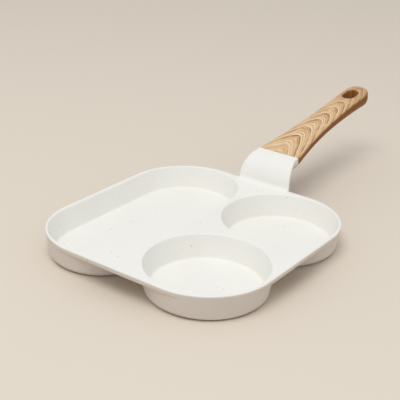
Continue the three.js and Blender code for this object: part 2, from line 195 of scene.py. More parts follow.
def quarters(steps: int) -> Array:
    """Angles of the four quarters of a turn, each in so many pieces, shape (4, steps + 1)."""
    return (np.arange(4)[:, None] + np.linspace(0.0, 1.0, steps + 1)) * QUARTER


def arc(inset: float, z: float, radius: float, start: float, stop: float, steps: int) -> Array:
    """Rounded edge of a profile: the point at each angle lies one radius from the centre.

    Args:
        inset: the centre's distance in from the outline.
        z: the centre's height.
        radius: of the rounding.
        start: first angle, where 0 faces out and a quarter turn faces up.
        stop: last angle.
        steps: number of pieces.

    Returns:
        Insets and heights, shape (steps + 1, 2).
    """
    angle = np.linspace(start, stop, steps + 1)
    return np.stack([inset - radius * np.cos(angle), z + radius * np.sin(angle)], axis=-1)


def rounded_bar(half: Any, tall: Any, radius: Any, steps: int) -> tuple[Array, Array]:
    """Section of a bar: each corner is a quarter circle round a point one radius in from both sides.

    Args:
        half: half of the width, as a number or a column.
        tall: half of the height.
        radius: of the corners.
        steps: number of pieces to a corner.

    Returns:
        Places across and up, with the corners' points along the last axis.
    """
    angle = quarters(steps).ravel()
    side = np.repeat([-1.0, 1.0, 1.0, -1.0], steps + 1)
    face = np.repeat([1.0, 1.0, -1.0, -1.0], steps + 1)
    return side * (half - radius) - radius * np.cos(angle), face * (tall - radius) + radius * np.sin(angle)


def eased(value: Array, start: Array | float, stop: float) -> Array:
    """Share of the way from start to stop, t t (3 - 2 t), which sets out and arrives gently."""
    t = np.clip((value - start) / (stop - start), 0.0, 1.0)
    return t * t * (3 - 2 * t)


@dataclass(frozen=True)
class Footprint:
    """Outline seen from above: straight sides joined by quarter ellipses."""

    x0: float
    x1: float
    y0: float
    y1: float
    left: float
    right: float
    end: float
    corner_steps: int = 40

    @property
    def middle(self) -> tuple[float, float]:
        """The middle of the outline."""
        return (self.x0 + self.x1) / 2, (self.y0 + self.y1) / 2

    def rings(self, profile: Array) -> Array:
        """Carry a profile round the outline.

        Each quarter is centre + (radius - inset) times the cosine and sine of its angle.

        Args:
            profile: insets and heights, shape (rows, 2).

        Returns:
            Points of shape (rows, columns, 3), without the columns that repeat the one before.
        """
        angle = quarters(self.corner_steps)
        right, left = self.x1 - self.right, self.x0 + self.left
        rear, front = self.y1 - self.end, self.y0 + self.end
        centre_x = np.array([right, left, left, right])[:, None]
        centre_y = np.array([rear, rear, front, front])[:, None]
        radius = np.array([self.right, self.left, self.left, self.right])[:, None]
        inset, z = profile[:, 0, None, None], profile[:, 1, None, None]
        x = centre_x + (radius - inset) * np.cos(angle)
        y = centre_y + (self.end - inset) * np.sin(angle)
        ring = np.stack([x, y, np.broadcast_to(z, x.shape)], axis=-1).reshape(len(profile), -1, 3)
        step = np.linalg.norm(ring[0] - np.roll(ring[0], 1, axis=0), axis=-1)
        return ring[:, step > TINY]

    def formed(self, profile: Array) -> Solid:
        """Closed solid that the profile makes round this outline."""
        return loft(self.rings(profile))

    def moved(self, x0: float, x1: float, y0: float, y1: float) -> "Footprint":
        """The same outline with each side moved by its own amount."""
        return replace(self, x0=self.x0 + x0, x1=self.x1 + x1, y0=self.y0 + y0, y1=self.y1 + y1)


class Join(Enum):
    """How a tool meets the solid that it is brought to."""

    ADD = "UNION"
    CUT = "DIFFERENCE"
    KEEP = "INTERSECT"


@dataclass(frozen=True)
class PanFrame:
    """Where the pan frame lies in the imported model's frame, in metres."""

    origin: Vector

    def mesh(self, name: str, solid: Solid) -> Piece:
        """Put a solid in millimetres into a new mesh object at the origin.

        Args:
            name: the object's name.
            solid: points and faces.

        Returns:
            The object, linked to the scene.
        """
        points, faces = solid
        data = bpy.data.meshes.new(name)
        data.from_pydata(points * MM + np.array(self.origin), [], faces)
        data.update()
        return placed(name, data)

    def points(self, piece: Piece) -> Array:
        """Give a piece's points in the pan frame.

        Args:
            piece: an object made in this frame.

        Returns:
            Places in millimetres, shape (count, 3).
        """
        places = np.empty(3 * len(piece.data.vertices))
        piece.data.vertices.foreach_get("co", places)
        return (places.reshape(-1, 3) - np.array(self.origin)) / MM

    def combined(self, name: str, first: Solid, tools: list[tuple[Join, Solid]]) -> Piece:
        """Join and cut solids in order, and keep the result as a plain mesh.

        Args:
            name: the object's name.
            first: the solid that the others are brought to.
            tools: each other solid and how it meets the first.

        Returns:
            The object.
        """
        made = self.mesh(name, first)
        joined(made, [(join, self.mesh(f"{name}.tool", solid)) for join, solid in tools])
        return made


def joined(piece: Piece, tools: list[tuple[Join, Piece]]) -> None:
    """Bring objects to a piece in order, and drop them.

    Args:
        piece: the object that is changed.
        tools: each other object and how it meets the piece.
    """
    for join, tool in tools:
        step = piece.modifiers.new(join.name, "BOOLEAN")
        step.solver = "MANIFOLD"
        step.operation = join.value
        step.object = tool
    settle(piece)
    for _, tool in tools:
        bpy.data.meshes.remove(tool.data)
    # Cuts leave points on top of each other, with empty faces between them
    shape = bmesh.new()
    shape.from_mesh(piece.data)
    bmesh.ops.remove_doubles(shape, verts=shape.verts, dist=WELD)
    bmesh.ops.dissolve_degenerate(shape, edges=shape.edges, dist=WELD)
    shape.to_mesh(piece.data)
    shape.free()


def settle(piece: Piece) -> None:
    """Write what a piece's modifiers make of it into its own mesh.

    Args:
        piece: the object, which is left with no modifiers.
    """
    graph = bpy.context.evaluated_depsgraph_get()
    final = bpy.data.meshes.new_from_object(piece.evaluated_get(graph), depsgraph=graph)
    old = piece.data
    piece.modifiers.clear()
    piece.data = final
    bpy.data.meshes.remove(old)
    final.name = piece.name


def soften(piece: Piece) -> Piece:
    """Shade a piece smoothly, with flat faces kept flat up to their rounded edges.

    Args:
        piece: the object, whose edges sharper than CREASE stay sharp.

    Returns:
        The piece.
    """
    piece.data.shade_smooth()
    piece.data.set_sharp_from_angle(angle=CREASE)
    weighted = piece.modifiers.new("even_shading", "WEIGHTED_NORMAL")
    weighted.mode = "FACE_AREA_WITH_ANGLE"
    weighted.weight = AREA_WEIGHT
    weighted.keep_sharp = True
    settle(piece)
    return piece


def dress(piece: Piece, material: Material, slot: str, *nodes: str) -> None:
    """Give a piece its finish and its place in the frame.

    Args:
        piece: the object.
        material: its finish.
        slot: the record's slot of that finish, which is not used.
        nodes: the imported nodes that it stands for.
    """
    piece.data.materials.clear()
    piece.data.materials.append(material)
    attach(piece, BODY)
    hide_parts(*nodes)
    log.info("%s: %d faces for %s", piece.name, len(piece.data.polygons), ", ".join(nodes))


@dataclass(frozen=True)
class Speck:
    """One kind of speck in a coating, with its spacing and radius in millimetres."""

    colour: str
    spacing: float
    radius: float
    strength: float


@dataclass(frozen=True)
class SpeckledCoating:
    """Ceramic non-stick sprayed on die-cast aluminium: satin off-white with scattered tiny brown specks."""

    name: str = "ceramic_nonstick_on_cast_aluminium"
    ground: str = "#f6f5f0"
    shade: str = "#f1efe8"
    # Real specks are finer than one pixel here, so they are drawn a little larger to show
    specks: tuple[Speck, ...] = (Speck("#a3907a", 4.2, 0.42, 0.5), Speck("#6b5a49", 10.5, 0.62, 0.62))
    speck_core: float = 0.45
    mottle: float = 30.0
    mottle_detail: float = 2.0
    grit: float = 0.9
    grit_detail: float = 3.0
    grit_relief: float = 0.12
    grit_height: float = 0.03
    roughness: float = 0.48
    roughness_spread: float = 0.05
    ior: float = 1.5

    def material(self) -> Material:
        """Make the coating; a speck is the part of the surface within a radius of a scattered point.

        Returns:
            The material.
        """
        material, tree = blank_material(self.name)
        place = node(tree, "TexCoord").outputs["Object"]
        mm = node(tree, "Mapping", {"Vector": place, "Scale": (1 / MM,) * 3}).outputs[0]
        cloud = node(tree, "TexNoise", {
            "Vector": mm, "Scale": 1 / self.mottle, "Detail": self.mottle_detail,
        }).outputs["Fac"]
        colour = node(tree, "Mix", {
            FACTOR: cloud, FIRST: linear(self.ground), SECOND: linear(self.shade),
        }, data_type="RGBA").outputs[MIXED]
        for speck in self.specks:
            cells = node(tree, "TexVoronoi", {"Vector": mm, "Scale": 1 / speck.spacing})
            spot = node(tree, "MapRange", {
                "Value": cells.outputs["Distance"],
                "From Min": self.speck_core * speck.radius / speck.spacing,
                "From Max": speck.radius / speck.spacing,
                "To Min": speck.strength,
                "To Max": 0.0,
            }, interpolation_type="SMOOTHSTEP").outputs["Result"]
            colour = node(tree, "Mix", {
                FACTOR: spot, FIRST: colour, SECOND: linear(speck.colour),
            }, data_type="RGBA").outputs[MIXED]
        grit = node(tree, "TexNoise", {
            "Vector": mm, "Scale": 1 / self.grit, "Detail": self.grit_detail,
        }).outputs["Fac"]
        bump = node(tree, "Bump", {
            "Strength": self.grit_relief, "Distance": self.grit_height * MM, "Height": grit,
        })
        sheen = node(tree, "MapRange", {
            "Value": grit,
            "To Min": self.roughness - self.roughness_spread,
            "To Max": self.roughness + self.roughness_spread,
        })
        shader = node(tree, "BsdfPrincipled", {
            "Base Color": colour,
            "Roughness": sheen.outputs["Result"],
            "IOR": self.ior,
            "Normal": bump.outputs["Normal"],
        })
        node(tree, "OutputMaterial", {"Surface": shader.outputs["BSDF"]})
        return material


@dataclass(frozen=True)
class WoodGrainPhenolic:
    """Phenolic moulding with a wood-grain film: pale tan with nested arches of darker grain, satin."""

    name: str = "wood_grain_phenolic"
    pale: str = "#f0d7b1"
    tan: str = "#dbb485"
    # The bare phenolic's brown, made darker still so that it also paints the shade on the grip's sides, belly
    # and hang hole
    moulding_and_shade: str = "#8e540e"
    # One arch's figure from its light start, over thin lines, to the dark line that closes it
    figure: tuple[tuple[float, str], ...] = (
        (0.00, "#f3dab4"), (0.13, "#f0d6af"), (0.20, "#b5824f"), (0.27, "#ecd0a7"), (0.40, "#e8c89d"),
        (0.47, "#a97341"), (0.54, "#e2bf92"), (0.66, "#dbb486"), (0.73, "#9f6937"), (0.80, "#d6ac7c"),
        (0.88, "#ac7849"), (0.94, "#764825"), (1.00, "#e6c69c"),
    )
    # The figure is faint next to the pan and has its full strength from a little before the first strong arch
    faint: float = 0.4
    faint_arches: tuple[float, float] = (-1.3, -0.3)
    # Along the handle, the first strong arch peaks here, and the next ones follow at a closing distance
    first_arch: float = 45.3
    arches_per_mm: float = 0.0496
    closing: float = 0.000143
    # How steeply an arch falls away to its sides near the pan, and how much steeper towards the end
    fall: float = 0.085
    steepening: float = 0.00085
    heart: float = -3.5
    heart_drift: float = 0.045
    depth_pull: float = 9.0
    # The noises are shorter across the handle than along it
    stretch: tuple[float, float, float] = (1.6, 0.6, 1.0)
    sway: float = 0.62
    sway_length: float = 24.0
    sway_detail: float = 4.0
    sway_roughness: float = 0.58
    # Between these values of a noise the figure goes from its least strength to its most
    patch_length: float = 11.0
    patch_detail: float = 2.0
    patch_range: tuple[float, float] = (0.34, 0.58)
    patch_least: float = 0.3
    streaks_per_arch: float = 9.0
    streak_length: float = 7.0
    streak_detail: float = 3.0
    streak_range: tuple[float, float] = (0.36, 0.64)
    streak_relief: float = 0.15
    streak_height: float = 0.04
    roughness: float = 0.5
    ior: float = 1.5
    specular: float = 0.12

    def arches(self, across: Array, along: Array, under: Array) -> Array:
        """Number of arches up to a place on the film.

        An arch is where q = along + fall (across - heart) squared - depth pull under is the same, and the
        number of arches grows a little faster than q.

        Args:
            across: millimetres from the grip's middle plane.
            along: millimetres from the joint.
            under: millimetres below the grip's widest line.

        Returns:
            The number at each place, where each whole number is a dark line.
        """
        side = across - self.heart - self.heart_drift * along
        fallen = (self.fall + self.steepening * along) * side ** 2
        q = along + fallen - self.depth_pull * under - self.first_arch
        return q * (self.arches_per_mm + self.closing * q)

    def material(self) -> Material:
        """Make the film from the piece's own attribute: arch number, place across and share of bare moulding
        and painted shade.

        The arch number sways with a noise, and what is left of it after the last whole number picks the
        figure's colour. Streaks of noise that follow the arches show where the figure is faint.

        Returns:
            The material.
        """
        material, tree = blank_material(self.name)
        place = node(tree, "TexCoord").outputs["Object"]
        scale = tuple(share / MM for share in self.stretch)
        mm = node(tree, "Mapping", {"Vector": place, "Scale": scale}).outputs[0]
        grain = node(tree, "Attribute", attribute_name=GRAIN).outputs["Vector"]
        arch, _, bare_and_shade = node(tree, "SeparateXYZ", {0: grain}).outputs
        wave = node(tree, "TexNoise", {
            "Vector": mm,
            "Scale": 1 / self.sway_length,
            "Detail": self.sway_detail,
            "Roughness": self.sway_roughness,
        }).outputs["Fac"]
        count = node(tree, "Math", {0: wave, 1: self.sway, 2: arch}, operation="MULTIPLY_ADD").outputs[0]
        share = node(tree, "Math", {0: count}, operation="FRACT").outputs[0]
        figure = node(tree, "ValToRGB", {"Fac": share})
        stops = figure.color_ramp.elements
        while len(stops) < len(self.figure):
            stops.new(1.0)
        for stop, (at, shade) in zip(stops, self.figure):
            stop.position = at
            stop.color = linear(shade)
        flow = node(tree, "Mapping", {
            "Vector": grain, "Scale": (self.streaks_per_arch, 1 / self.streak_length, 0.0),
        }).outputs[0]
        streak = node(tree, "TexNoise", {
            "Vector": flow, "Scale": 1.0, "Detail": self.streak_detail,
        }).outputs["Fac"]
        tone = node(tree, "MapRange", {
            "Value": streak, "From Min": self.streak_range[0], "From Max": self.streak_range[1],
        }).outputs["Result"]
        plain_film = node(tree, "Mix", {
            FACTOR: tone, FIRST: linear(self.pale), SECOND: linear(self.tan),
        }, data_type="RGBA").outputs[MIXED]
        patch = node(tree, "TexNoise", {
            "Vector": mm, "Scale": 1 / self.patch_length, "Detail": self.patch_detail,
        }).outputs["Fac"]
        most = node(tree, "MapRange", {
            "Value": arch,
            "From Min": self.faint_arches[0],
            "From Max": self.faint_arches[1],
            "To Min": self.faint,
            "To Max": 1.0,
        }, interpolation_type="SMOOTHSTEP").outputs["Result"]
        strength = node(tree, "MapRange", {
            "Value": patch,
            "From Min": self.patch_range[0],
            "From Max": self.patch_range[1],
            "To Min": self.patch_least,
            "To Max": most,
        }).outputs["Result"]
        film = node(tree, "Mix", {
            FACTOR: strength, FIRST: plain_film, SECOND: figure.outputs["Color"],
        }, data_type="RGBA").outputs[MIXED]
        # Painted shade: the dark moulding colour, mixed in by that share, stands for bare moulding and for
        # the shade on the sides, belly and hang hole
        colour = node(tree, "Mix", {
            FACTOR: bare_and_shade, FIRST: film, SECOND: linear(self.moulding_and_shade),
        }, data_type="RGBA").outputs[MIXED]
        bump = node(tree, "Bump", {
            "Strength": self.streak_relief, "Distance": self.streak_height * MM, "Height": streak,
        })
        shader = node(tree, "BsdfPrincipled", {
            "Base Color": colour,
            "Roughness": self.roughness,
            "IOR": self.ior,
            "Specular IOR Level": self.specular,
            "Normal": bump.outputs["Normal"],
        })
        node(tree, "OutputMaterial", {"Surface": shader.outputs["BSDF"]})
        return material


@dataclass(frozen=True)
class TurnedSteel:
    """Stainless or zinc-plated steel with fine turning marks round its middle."""

    name: str
    bright: str
    dull: str
    spacing: float
    roughness: float
    brighter: float = 0.06
    duller: float = 0.08
    mark_detail: float = 3.0
    mark_relief: float = 0.2
    mark_depth: float = 0.02

    def material(self, centre: Vector) -> Material:
        """Make the steel, whose marks are noise along the distance from the centre.

        Args:
            centre: the middle of the marks, in metres.

        Returns:
            The material.
        """
        material, tree = blank_material(self.name)
        place = node(tree, "TexCoord").outputs["Object"]
        local = node(tree, "Mapping", {
            "Vector": place, "Location": centre, "Scale": (MM,) * 3,
        }, vector_type="TEXTURE").outputs[0]
        radius = node(tree, "VectorMath", {0: local}, operation="LENGTH").outputs["Value"]
        marks = node(tree, "TexNoise", {
            "W": radius, "Scale": 1 / self.spacing, "Detail": self.mark_detail,
        }, noise_dimensions="1D").outputs["Fac"]
        colour = node(tree, "Mix", {
            FACTOR: marks, FIRST: linear(self.bright), SECOND: linear(self.dull),
        }, data_type="RGBA").outputs[MIXED]
        bump = node(tree, "Bump", {
            "Strength": self.mark_relief, "Distance": self.mark_depth * MM, "Height": marks,
        })
        sheen = node(tree, "MapRange", {
            "Value": marks, "To Min": self.roughness - self.brighter, "To Max": self.roughness + self.duller,
        })
        shader = node(tree, "BsdfPrincipled", {
            "Base Color": colour,
            "Metallic": 1.0,
            "Roughness": sheen.outputs["Result"],
            "Normal": bump.outputs["Normal"],
        })
        node(tree, "OutputMaterial", {"Surface": shader.outputs["BSDF"]})
        return material


# Drawn or rolled sheet keeps a soft grey gloss; a zinc-plated screw is brighter and slightly blue
BASE_STEEL = TurnedSteel("turned_stainless_steel", "#c6c5c1", "#a9a8a4", 0.6, 0.34)
ZINC_STEEL = TurnedSteel("zinc_plated_steel", "#cfd0d1", "#a8aaad", 0.35, 0.28)


@dataclass(frozen=True)
class HandleLine:
    """Where the handle starts, how it rises and how wide its joint is.

    The handle frame's origin is the middle of the joint's upper edge, and its y axis runs up the slope.
    """

    slope: float = math.radians(10.3)
    y: float = 130.35
    z: float = 49.379
    width: float = 44.6
    spun_sides: int = 96
    corner_steps: int = 12

    @property
    def origin(self) -> Array:
        """The handle frame's origin in the pan frame."""
        return np.array([0.0, self.y, self.z])

    @property
    def axes(self) -> Array:
        """The handle frame's axes in the pan frame, one to a row."""
        c, s = math.cos(self.slope), math.sin(self.slope)
        return np.array([[1.0, 0.0, 0.0], [0.0, c, s], [0.0, -s, c]])

    def to_pan(self, points: Array) -> Array:
        """Points of the handle frame, turned up by the slope and carried to the joint."""
        return points @ self.axes + self.origin

    def from_pan(self, points: Array) -> Array:
        """Points of the pan frame, carried back from the joint and turned down by the slope."""
        return (points - self.origin) @ self.axes.T

    def spun(self, place: float, profile: Array) -> Solid:
        """Turned solid on an upright axis: each radius times the cosine and sine of the turn.

        Args:
            place: the axis's distance from the joint.
            profile: radii and heights from the lowest up, shape (rows, 2).

        Returns:
            The solid in the pan frame.
        """
        turn = np.linspace(0.0, 2 * math.pi, self.spun_sides, endpoint=False)
        x, y = profile[:, :1] * np.cos(turn), place + profile[:, :1] * np.sin(turn)
        return loft(self.to_pan(np.stack([x, y, np.broadcast_to(profile[:, 1:], x.shape)], axis=-1)))

    def tongue(self, half: float, start: float, end: float, corner: float, low: float, high: float) -> Solid:
        """Flat tongue along the handle, whose far corners are quarter circles.

        Args:
            half: half of its width.
            start: where it begins, from the joint.
            end: where it ends.
            corner: radius of the far corners.
            low: height of its lower face.
            high: height of its upper face.

        Returns:
            The solid in the pan frame.
        """
        turn = np.linspace(0.0, QUARTER, self.corner_steps + 1)
        reach, side = corner * np.sin(turn), corner * np.cos(turn)
        right = np.stack([half - corner + side, end - corner + reach], axis=-1)
        left = np.stack([corner - half - reach, end - corner + side], axis=-1)
        outline = np.vstack([[[half, start]], right, left, [[-half, start]]])
        return loft(self.to_pan(prism(outline, low, high)))


@dataclass
class Casting:
    """The coated casting: a rim with a skirt, three fused cups, the bent bracket and the tang."""

    frame: PanFrame
    line: HandleLine
    width: float = 214.0
    length: float = 218.0
    lip: float = 2.6
    ridge: float = 2.8
    corner_ease: float = 4.1
    rim_height: float = 24.0
    skirt_height: float = 5.0
    skirt_thickness: float = 3.0
    web_thickness: float = 3.2
    wall: float = 1.2
    lean: float = 0.5
    draft: float = math.radians(9.0)
    well_draft: float = math.radians(12.0)
    floor_thickness: float = 2.4
    floor_fillet: float = 1.8
    cup_round: float = 5.0
    cup_fillet: float = 3.0
    rim_round: float = 1.2
    well_round: float = 1.4
    # A well's rounded edge is cut up to this angle and runs out straight by a share of its radius
    well_edge: float = math.radians(80.0)
    well_mouth: float = 1 / 3
    hairline: float = 0.03
    neck_length: float = 24.0
    neck_thickness: float = 6.0
    plate_proud: float = 0.5
    plate_thickness: float = 1.4
    plate_inset: float = 11.0
    bracket_width: float = 55.2
    bend: float = 22.0
    bracket_inset: float = 2.0
    bracket_fillet: float = 4.0
    bracket_thickness: float = 2.6
    joint_thickness: float = 8.6
    thickening: int = 4
    collar_length: float = 7.0
    collar_least: float = 0.18
    bracket_round: float = 1.5
    round_share: float = 0.45
    bracket_foot: float = 2.4
    tang_width: float = 26.0
    tang_length: float = 40.0
    tang_thickness: float = 3.2
    tang_cover: float = 2.4
    tang_corner: float = 5.0
    screw_hole: float = 4.6
    screw_place: float = 22.0
    arc_steps: int = 9
    bend_steps: int = 40
    feet: dict[str, Footprint] = field(init=False)
    cup_feet: dict[str, Footprint] = field(init=False)
    rim_foot: Footprint = field(init=False)

    def __post_init__(self) -> None:
        """Work out the wells', the cups' and the rim's outlines from the outer size, the lip and the ridges.

        The cups lean out towards the pan's corners, where their walls come flush with the skirt.
        """
        radius = (self.length - 2 * self.lip - self.ridge) / 4
        x, y = self.width / 2 - self.lip - radius, self.ridge / 2 + radius
        left, right = self.lip - self.width / 2, x - radius - self.ridge
        end = self.length / 2 - self.lip
        self.feet = {
            "long": Footprint(left, right, -end, end, radius, right - left - radius, radius),
            "front": Footprint(x - radius, x + radius, -y - radius, radius - y, radius, radius, radius),
            "rear": Footprint(x - radius, x + radius, y - radius, y + radius, radius, radius, radius),
        }
        self.cup_feet = {
            "long": self.feet["long"].moved(-self.lean, 0.0, -self.lean, self.lean),
            "front": self.feet["front"].moved(self.lean, self.lean, -self.lean, -self.lean),
            "rear": self.feet["rear"].moved(self.lean, self.lean, self.lean, self.lean),
        }
        corner = radius + self.lip + self.corner_ease
        half_x, half_y = self.width / 2, self.length / 2
        self.rim_foot = Footprint(-half_x, half_x, -half_y, half_y, corner, corner, corner)

    def drafted_foot(self, top_inset: float, bottom: float, radius: float, draft: float) -> Array:
        """Rounded foot of a drafted wall: an arc tangent to the floor and to the wall's slope.

        Args:
            top_inset: inset at which the wall would reach the top plane.
            bottom: the floor's height.
            radius: of the foot.
            draft: the wall's slope from upright.

        Returns:
            Insets and heights.
        """
        tangent = bottom + radius - radius * math.sin(draft)
        inset = top_inset + (self.rim_height - tangent) * math.tan(draft) + radius * math.cos(draft)
        return arc(inset, bottom + radius, radius, -QUARTER, -draft, self.arc_steps)

    def rim(self) -> Solid:
        """Flat plate with a rounded edge above and below, and the draft between them.

        Returns:
            The solid.
        """
        low = self.rim_height - self.skirt_height + self.rim_round
        high = self.rim_height - self.rim_round
        r, n = self.rim_round, self.arc_steps
        return self.rim_foot.formed(np.vstack([
            arc(r + (high - low) * math.tan(self.draft), low, r, -QUARTER, -self.draft, n),
            arc(r, high, r, -self.draft, QUARTER, n),
        ]))

    def skirt_inset(self, z: float) -> float:
        """How far in from the rim's outline the drafted skirt, or the wall that goes on below it, lies."""
        r, d = self.rim_round, self.draft
        return r * (1 - math.cos(d)) + (self.rim_height - r - r * math.sin(d) - z) * math.tan(d)

    def flush_block(self) -> Solid:
        """Block inside the drafted skirt and its continuation, which keeps the cups flush with it."""
        heights = (-OVERCUT, self.rim_height)
        return self.rim_foot.formed(np.array([[self.skirt_inset(z) + self.hairline, z] for z in heights]))

    def cup(self, foot: Footprint) -> Solid:
        """Outside of a cup: rounded foot, drafted wall, and a hollow fillet that runs out under the web.

        Args:
            foot: the cup's outline.

        Returns:
            The solid.
        """
        r, d = self.cup_fillet, self.draft
        z = self.rim_height - self.web_thickness - r
        wall = (self.rim_height - z - r * math.sin(d)) * math.tan(d) - self.wall
        centre = wall - r * math.cos(d)
        return foot.formed(np.vstack([
            self.drafted_foot(-self.wall, self.plate_proud, self.cup_round, d),
            arc(centre, z, r, math.pi - d, QUARTER, self.arc_steps),
            [[centre, self.rim_height - self.rim_round]],
        ]))

    def well(self, foot: Footprint) -> Solid:
        """Inside of a well: filleted floor, drafted wall, and a rounded edge that runs out past the rim.

        Args:
            foot: the well's outline.

        Returns:
            The solid.
        """
        r, draft, last = self.well_round, self.well_draft, self.well_edge
        edge = arc(0.0, self.rim_height - r, r, math.pi - draft, math.pi - last, self.arc_steps)
        rise = self.well_mouth * r
        mouth = edge[-1:] + np.array([[-rise * math.tan(last), rise]])
        top_inset = r * (1 - math.sin(draft)) / math.cos(draft)
        floor = self.plate_proud + self.floor_thickness
        bottom = self.drafted_foot(top_inset, floor, self.floor_fillet, draft)
        return foot.formed(np.vstack([bottom, edge, mouth]))

    def necks(self) -> list[Solid]:
        """Webs that fill the slits where two cups nearly touch: blocks with two sizes round a middle.

        Returns:
            The three solids.
        """
        low, high = self.plate_proud + self.cup_round, self.rim_height - self.well_round
        x, y = self.feet["rear"].middle
        ridge_x = self.feet["long"].x1 + self.ridge / 2
        n, t = self.neck_length, self.neck_thickness
        corners = np.array([[1, 1], [-1, 1], [-1, -1], [1, -1]])
        blocks = (((x, 0.0), (n, t)), ((ridge_x, -y), (t, n)), ((ridge_x, y), (t, n)))
        return [loft(prism(corners * np.array(size) / 2 + np.array(at), low, high)) for at, size in blocks]

    def bracket(self) -> Solid:
        """Bracket: a rounded bar carried up a fillet on the rim, round the bend and along a short run.

        Each section lies between an outer and an inner point, and its corners are quarter circles. The bend's
        height and the run's length are what is left between the rim and the joint. Round the bend the bar
        narrows with the mean of the way and its square, and it thickens with a power of the way to the joint.

        Returns:
            The solid.
        """
        slope, n = self.line.slope, self.arc_steps
        face, top = self.length / 2 - self.bracket_inset, self.rim_height
        front, back = face - self.bracket_fillet, face + self.bracket_thickness
        run = (self.line.y - face - self.bend * (1 - math.sin(slope))) / math.cos(slope)
        rise = self.line.z - top - self.bend * math.cos(slope) - run * math.sin(slope)
        low = top - self.skirt_height + self.rim_round
        foot_outer = np.array([[front, low], [front, top - self.web_thickness / 2]])
        foot_inner = np.array([[back - self.bracket_foot, low], [back, top - self.web_thickness / 2]])
        turn = np.linspace(0.0, QUARTER, n + 1)[1:-1]
        fillet_z = top + self.bracket_fillet * (1 - np.cos(turn))
        fillet_outer = np.stack([front + self.bracket_fillet * np.sin(turn), fillet_z], axis=-1)
        fillet_inner = np.stack([np.full_like(turn, back), fillet_z], axis=-1)
        start = math.asin((self.bracket_fillet - rise) / self.bend)
        t = np.linspace(0.0, 1.0, self.bend_steps + 1)
        angle = start + (QUARTER - slope - start) * t
        out = np.stack([-np.cos(angle), np.sin(angle)], axis=-1)
        centre = np.array([face + self.bend, top + rise])
        bend_outer = centre + self.bend * out
        ahead = np.linspace(0.0, run, self.arc_steps + 1)[1:, None]
        run_outer = bend_outer[-1] + ahead * np.array([math.cos(slope), math.sin(slope)])
        run_out = np.repeat(out[-1:], len(ahead), axis=0)
        way = np.concatenate([self.bend * (angle - start), self.bend * (angle[-1] - start) + ahead[:, 0]])
        thicker = (self.joint_thickness - self.bracket_thickness) * (way / way[-1]) ** self.thickening
        bar_outer, bar_out = np.vstack([bend_outer, run_outer]), np.vstack([out, run_out])
        bar_inner = bar_outer - bar_out * (self.bracket_thickness + thicker)[:, None]
        outer = np.vstack([foot_outer, fillet_outer, bar_outer])
        inner = np.vstack([foot_inner, fillet_inner, bar_inner])
        narrowing = (t + t * t) / 2
        width = self.bracket_width + (self.line.width - self.bracket_width) * narrowing
        below = np.full(len(foot_outer) + len(turn), self.bracket_width)
        half = np.concatenate([below, width, np.full(len(ahead), self.line.width)])[:, None] / 2
        return loft(self.bars(half, outer, inner))

    def collar(self, front: Array) -> Solid:
        """Chin under the bracket's end, which carries the shape of the grip's front back into the bar.

        At the angle a of a quarter turn, a section lies the collar's length times sin a back from the joint,
        and what is below its widest line keeps the share least + (1 - least) cos a of its depth.

        Args:
            front: the grip's first full section in the handle frame, shape (columns, 3).

        Returns:
            The solid in the pan frame, a hairline inside the bar's own faces.
        """
        angle = np.linspace(QUARTER, 0.0, 2 * self.arc_steps + 1)[:, None]
        share = self.collar_least + (1 - self.collar_least) * np.cos(angle)
        x, _, z = front.T
        widest = z[np.argmax(x)]
        deep = np.where(z < widest, widest + (z - widest) * share, z) - self.hairline
        back = np.broadcast_to(-self.hairline - self.collar_length * np.sin(angle), deep.shape)
        across = np.broadcast_to(x * (1 - self.hairline / x.max()), deep.shape)
        return loft(self.line.to_pan(np.stack([across, back, deep], axis=-1)))

    def bars(self, half: Array, outer: Array, inner: Array) -> Array:
        """Rounded sections between outer and inner points.

        Args:
            half: half of each section's width, shape (rows, 1).
            outer: y and z of each outer point, shape (rows, 2).
            inner: the same for the inner points.

        Returns:
            Rings of shape (rows, columns, 3).
        """
        thickness = np.linalg.norm(outer - inner, axis=-1)[:, None]
        out = (outer - inner) / thickness
        radius = np.minimum(self.bracket_round, self.round_share * thickness)
        across, up = rounded_bar(half, thickness / 2, radius, self.arc_steps)
        places = ((outer + inner) / 2)[:, None] + up[..., None] * out[:, None]
        return np.concatenate([across[..., None], places], axis=-1)

    @property
    def tang_top(self) -> float:
        """Height of the tang's upper face in the handle frame."""
        return -self.tang_cover - CLEARANCE

    @property
    def tang_bottom(self) -> float:
        """Height of the tang's lower face in the handle frame."""
        return self.tang_top - self.tang_thickness

    def tang(self) -> Solid:
        """Flat tongue inside the grip."""
        half, corner = self.tang_width / 2, self.tang_corner
        return self.line.tongue(half, -corner, self.tang_length, corner, self.tang_bottom, self.tang_top)

    def tapping(self) -> Solid:
        """Round bar that opens the tang for the handle screw."""
        low, high = self.tang_bottom - OVERCUT, self.tang_top + OVERCUT
        return self.line.spun(self.screw_place, straight(self.screw_hole / 2, low, high))

    def build(self, front: Array) -> Piece:
        """Join the cups, keep what lies inside the skirt's face, add rim and bracket, and cut the wells.

        Args:
            front: the grip's first full section in the handle frame, which the collar follows.

        Returns:
            The casting.
        """
        feet = list(self.feet.values())
        web = self.rim_height - self.web_thickness
        hollow = self.rim_foot.formed(straight(self.skirt_thickness, web - self.skirt_height, web))
        rim = self.frame.combined("rim.blank", self.rim(), [(Join.CUT, hollow)])
        cups = [self.cup(foot) for foot in self.cup_feet.values()]
        body = self.frame.combined("speckled_casting", cups[0], [
            *[(Join.ADD, solid) for solid in [*cups[1:], *self.necks()]],
            (Join.KEEP, self.flush_block()),
        ])
        recess = straight(self.plate_inset - CLEARANCE, -OVERCUT, self.plate_thickness + CLEARANCE)
        later = [
            (Join.ADD, self.bracket()),
            (Join.ADD, self.collar(front)),
            (Join.ADD, self.tang()),
            (Join.CUT, self.tapping()),
            *[(Join.CUT, self.well(foot)) for foot in feet],
            *[(Join.CUT, foot.formed(recess)) for foot in feet],
        ]
        tools = [(join, self.frame.mesh("casting.tool", solid)) for join, solid in later]
        joined(body, [(Join.ADD, rim), *tools])
        return soften(body)


